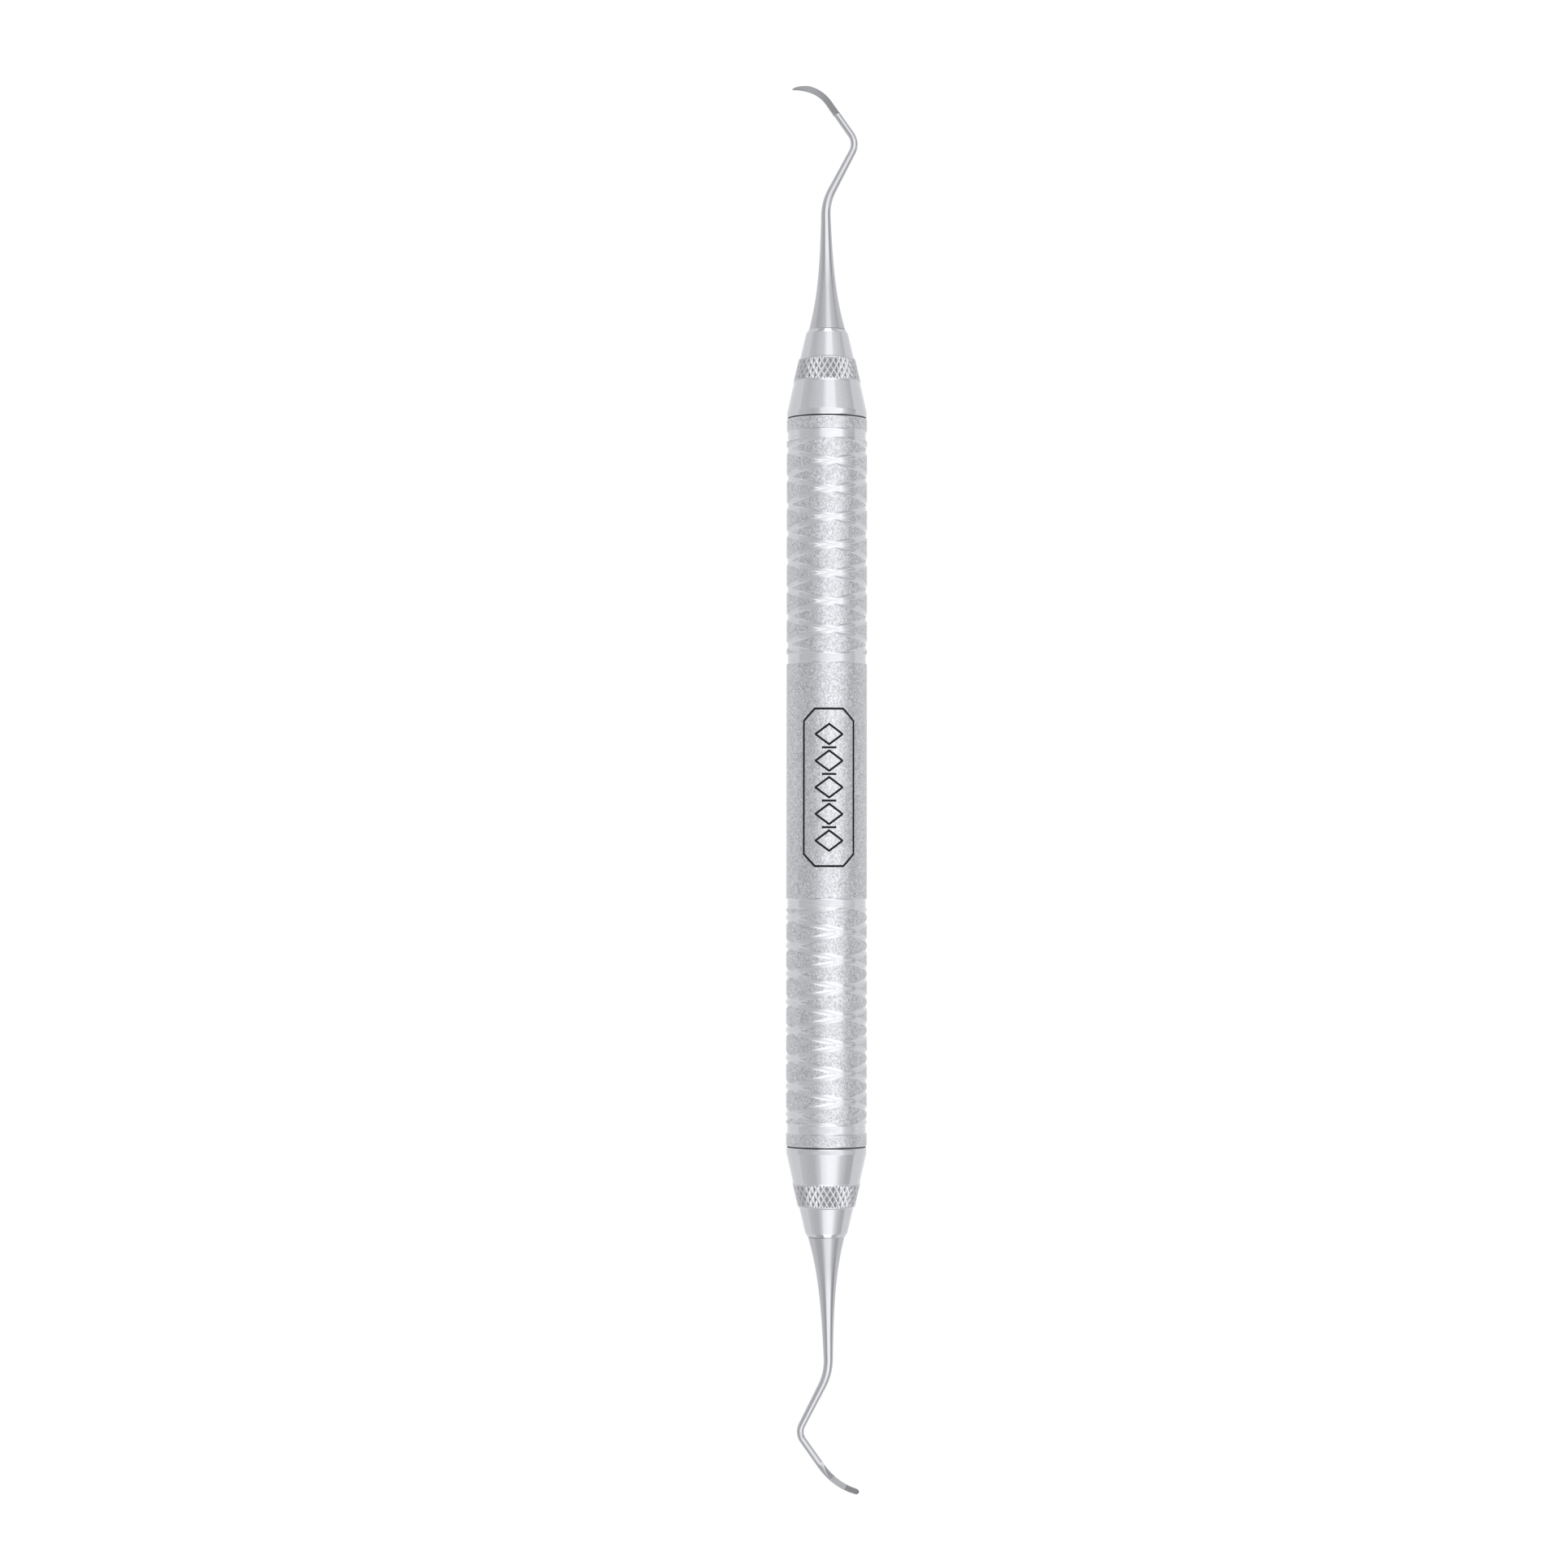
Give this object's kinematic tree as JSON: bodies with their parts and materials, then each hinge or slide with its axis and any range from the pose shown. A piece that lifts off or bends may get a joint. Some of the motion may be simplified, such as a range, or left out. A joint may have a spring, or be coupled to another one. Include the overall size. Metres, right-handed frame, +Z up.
{
  "type": "hand scaler",
  "caption": "Double-ended dental hand scaler: hollow steel handle with ring grooves, and screw-in cones that hold a pointed sickle end and a round-toed curette end.",
  "frame": {"origin": "on the plane the handle rests on, midway between the two toes, below the handle's axis", "axes": "+X along the handle towards the pointed sickle end, +Z up; both working ends bend in the horizontal plane, the sickle's blade ending on the +Y side and the curette's toe on the -Y side"},
  "size_m": [0.1748, 0.01, 0.01],
  "materials": {
    "blasted_steel": "fine bead-blasted stainless steel with polished grooves",
    "polished_steel": "polished stainless steel with fine turning lines",
    "tip_steel": "polished hardened stainless steel, blades ground matt",
    "bushing_steel": "plain turned stainless steel",
    "black_nitrile": "matt black nitrile rubber"
  },
  "bodies": {
    "handle": {"handle_tube": "blasted_steel", "sickle_end_bushing": "bushing_steel", "curette_end_bushing": "bushing_steel"},
    "sickle_seal": {"sickle_seal_ring": "black_nitrile"},
    "sickle_end": {"sickle_cone": "polished_steel", "sickle_tip": "tip_steel"},
    "curette_seal": {"curette_seal_ring": "black_nitrile"},
    "curette_end": {"curette_cone": "polished_steel", "curette_tip": "tip_steel"}
  },
  "joints": [
    {"name": "sickle_thread_travel", "type": "slide", "parent": "handle", "child": "sickle_seal", "axis": [1, 0, 0], "range_m": [0, 0.0048]},
    {"name": "sickle_unscrew", "type": "hinge", "parent": "sickle_seal", "child": "sickle_end", "pos_m": [0.04553, 0, 0.00499], "axis": [1, 0, 0], "range_deg": [0, 2161]},
    {"name": "curette_thread_travel", "type": "slide", "parent": "handle", "child": "curette_seal", "axis": [-1, 0, 0], "range_m": [0, 0.0048]},
    {"name": "curette_unscrew", "type": "hinge", "parent": "curette_seal", "child": "curette_end", "pos_m": [-0.04459, 0, 0.00499], "axis": [-1, 0, 0], "range_deg": [0, 2161]}
  ],
  "couplings": [
    {"joint": "sickle_unscrew", "follows": "sickle_thread_travel", "rad_per_m": 7854},
    {"joint": "curette_unscrew", "follows": "curette_thread_travel", "rad_per_m": 7854}
  ]
}
